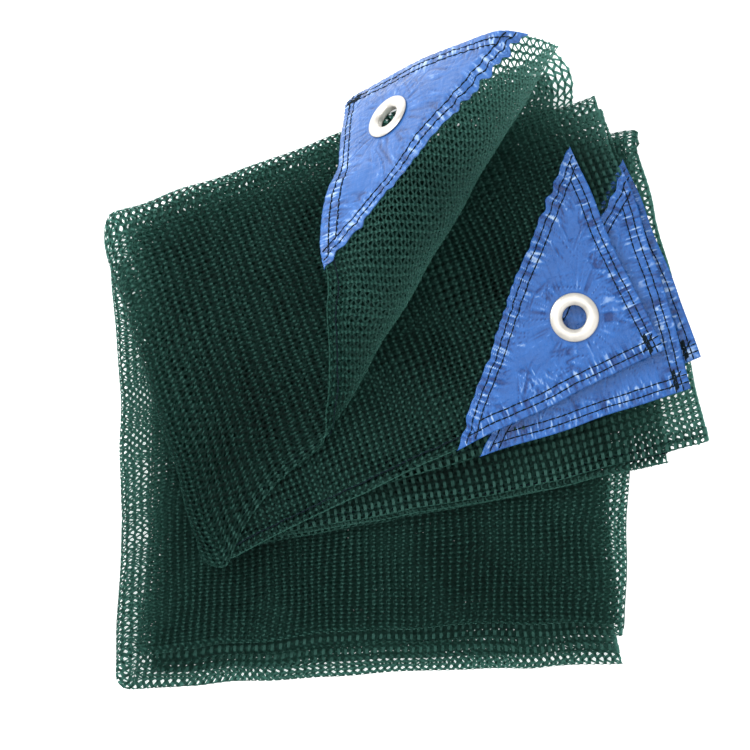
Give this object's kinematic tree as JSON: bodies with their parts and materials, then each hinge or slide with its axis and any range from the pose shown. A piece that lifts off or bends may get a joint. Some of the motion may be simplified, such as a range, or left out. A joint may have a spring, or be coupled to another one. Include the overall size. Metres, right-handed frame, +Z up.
{
  "type": "olive harvesting net",
  "caption": "Knitted dark green harvesting net, folded to a flat packet and bent over once, with sewn blue tarpaulin corners, metal eyelets and one corner turned back.",
  "frame": {"origin": "centre of the bounding box, on the surface that the folded net lies on", "axes": "+Z up, +X to the right and +Y away from someone who faces the edge where the lower half is folded; the turned-back corner is at the far side"},
  "size_m": [0.3003, 0.3236, 0.0828],
  "materials": {
    "net": "knitted flat plastic tape, dark green, slightly glossy",
    "tarpaulin": "crinkled woven film, glossy blue",
    "eyelet": "pressed metal, pale and satin"
  },
  "bodies": {
    "root": {"net": "net", "patch_1": "tarpaulin", "patch_2": "tarpaulin", "patch_3": "tarpaulin", "patch_4": "tarpaulin", "eyelet_1": "eyelet", "eyelet_2": "eyelet", "eyelet_3": "eyelet", "eyelet_4": "eyelet"}
  },
  "joints": []
}
